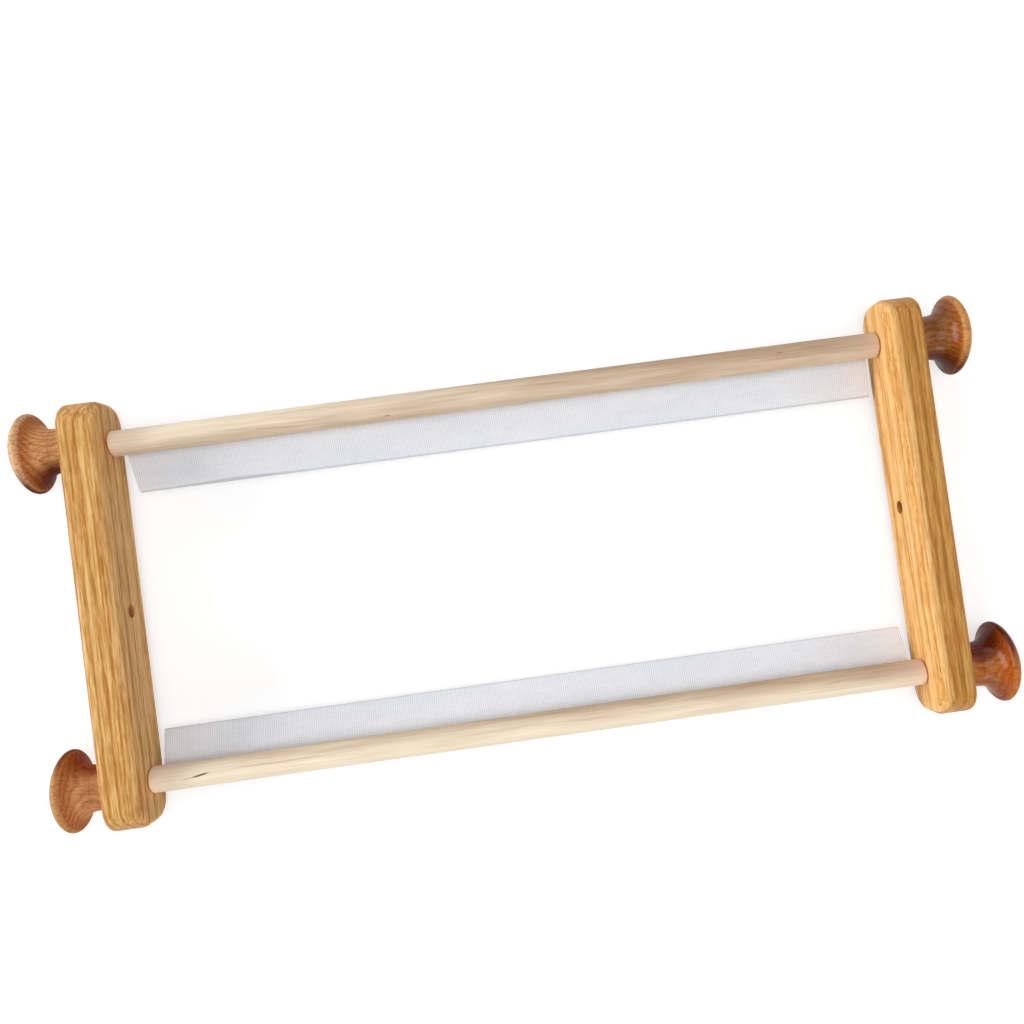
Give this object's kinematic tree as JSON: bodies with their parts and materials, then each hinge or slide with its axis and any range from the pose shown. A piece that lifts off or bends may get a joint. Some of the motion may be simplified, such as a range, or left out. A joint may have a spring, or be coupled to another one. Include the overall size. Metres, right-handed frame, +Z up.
{
  "type": "embroidery scroll frame",
  "caption": "Flat wooden scroll frame that stretches fabric for embroidery: side bars, turning rods edged with cotton webbing, and turned clamping knobs.",
  "frame": {"origin": "on the table under the middle of the frame, level with the lowest point of the knobs' rims", "axes": "+X along the rods to the right, +Y along the side bars away from the user, +Z up from the table"},
  "size_m": [0.4704, 0.2054, 0.0394],
  "materials": {
    "oak_bar": "oak with a clear satin coat, honey coloured, open dark grain along the bar",
    "birch_rod": "pale birch dowel, sanded, unvarnished",
    "cotton_webbing": "white cotton tape with fine ribs across its width",
    "turned_knob": "turned oak, red-brown, glossy coat",
    "steel": "zinc-plated steel",
    "brass": "machined brass"
  },
  "bodies": {
    "side_bars": {"left_side_bar": "oak_bar", "right_side_bar": "oak_bar"},
    "upper_rod": {"upper_rod": "birch_rod", "upper_webbing": "cotton_webbing", "upper_left_hanger_bolt": "steel", "upper_right_hanger_bolt": "steel", "upper_staple_1": "steel", "upper_staple_2": "steel", "upper_staple_3": "steel", "upper_staple_4": "steel", "upper_staple_5": "steel", "upper_staple_6": "steel", "upper_staple_7": "steel", "upper_staple_8": "steel"},
    "lower_rod": {"lower_rod": "birch_rod", "lower_webbing": "cotton_webbing", "lower_left_hanger_bolt": "steel", "lower_right_hanger_bolt": "steel", "lower_staple_1": "steel", "lower_staple_2": "steel", "lower_staple_3": "steel", "lower_staple_4": "steel", "lower_staple_5": "steel", "lower_staple_6": "steel", "lower_staple_7": "steel", "lower_staple_8": "steel"},
    "upper_left_washer": {"upper_left_washer": "steel"},
    "upper_left_knob": {"upper_left_knob": "turned_knob", "upper_left_knob_insert": "brass"},
    "upper_right_washer": {"upper_right_washer": "steel"},
    "upper_right_knob": {"upper_right_knob": "turned_knob", "upper_right_knob_insert": "brass"},
    "lower_left_washer": {"lower_left_washer": "steel"},
    "lower_left_knob": {"lower_left_knob": "turned_knob", "lower_left_knob_insert": "brass"},
    "lower_right_washer": {"lower_right_washer": "steel"},
    "lower_right_knob": {"lower_right_knob": "turned_knob", "lower_right_knob_insert": "brass"}
  },
  "joints": [
    {"name": "upper_rod_turn", "type": "hinge", "parent": "side_bars", "child": "upper_rod", "pos_m": [0, 0.0821, 0.0197], "axis": [1, 0, 0], "continuous": true},
    {"name": "lower_rod_turn", "type": "hinge", "parent": "side_bars", "child": "lower_rod", "pos_m": [0, -0.0821, 0.0197], "axis": [1, 0, 0], "continuous": true},
    {"name": "upper_left_washer_slide", "type": "slide", "parent": "upper_rod", "child": "upper_left_washer", "axis": [-1, 0, 0], "range_m": [0, 0.0085]},
    {"name": "upper_left_knob_turn", "type": "hinge", "parent": "upper_left_washer", "child": "upper_left_knob", "pos_m": [-0.20955, 0.0821, 0.0197], "axis": [-1, 0, 0], "range_deg": [0, 2880]},
    {"name": "upper_right_washer_slide", "type": "slide", "parent": "upper_rod", "child": "upper_right_washer", "axis": [1, 0, 0], "range_m": [0, 0.0085]},
    {"name": "upper_right_knob_turn", "type": "hinge", "parent": "upper_right_washer", "child": "upper_right_knob", "pos_m": [0.20955, 0.0821, 0.0197], "axis": [1, 0, 0], "range_deg": [0, 2880]},
    {"name": "lower_left_washer_slide", "type": "slide", "parent": "lower_rod", "child": "lower_left_washer", "axis": [-1, 0, 0], "range_m": [0, 0.0085]},
    {"name": "lower_left_knob_turn", "type": "hinge", "parent": "lower_left_washer", "child": "lower_left_knob", "pos_m": [-0.20955, -0.0821, 0.0197], "axis": [-1, 0, 0], "range_deg": [0, 2880]},
    {"name": "lower_right_washer_slide", "type": "slide", "parent": "lower_rod", "child": "lower_right_washer", "axis": [1, 0, 0], "range_m": [0, 0.0085]},
    {"name": "lower_right_knob_turn", "type": "hinge", "parent": "lower_right_washer", "child": "lower_right_knob", "pos_m": [0.20955, -0.0821, 0.0197], "axis": [1, 0, 0], "range_deg": [0, 2880]}
  ],
  "couplings": [
    {"joint": "upper_left_washer_slide", "follows": "upper_left_knob_turn", "m_per_rad": 0.00016844},
    {"joint": "upper_right_washer_slide", "follows": "upper_right_knob_turn", "m_per_rad": 0.00016844},
    {"joint": "lower_left_washer_slide", "follows": "lower_left_knob_turn", "m_per_rad": 0.00016844},
    {"joint": "lower_right_washer_slide", "follows": "lower_right_knob_turn", "m_per_rad": 0.00016844}
  ]
}
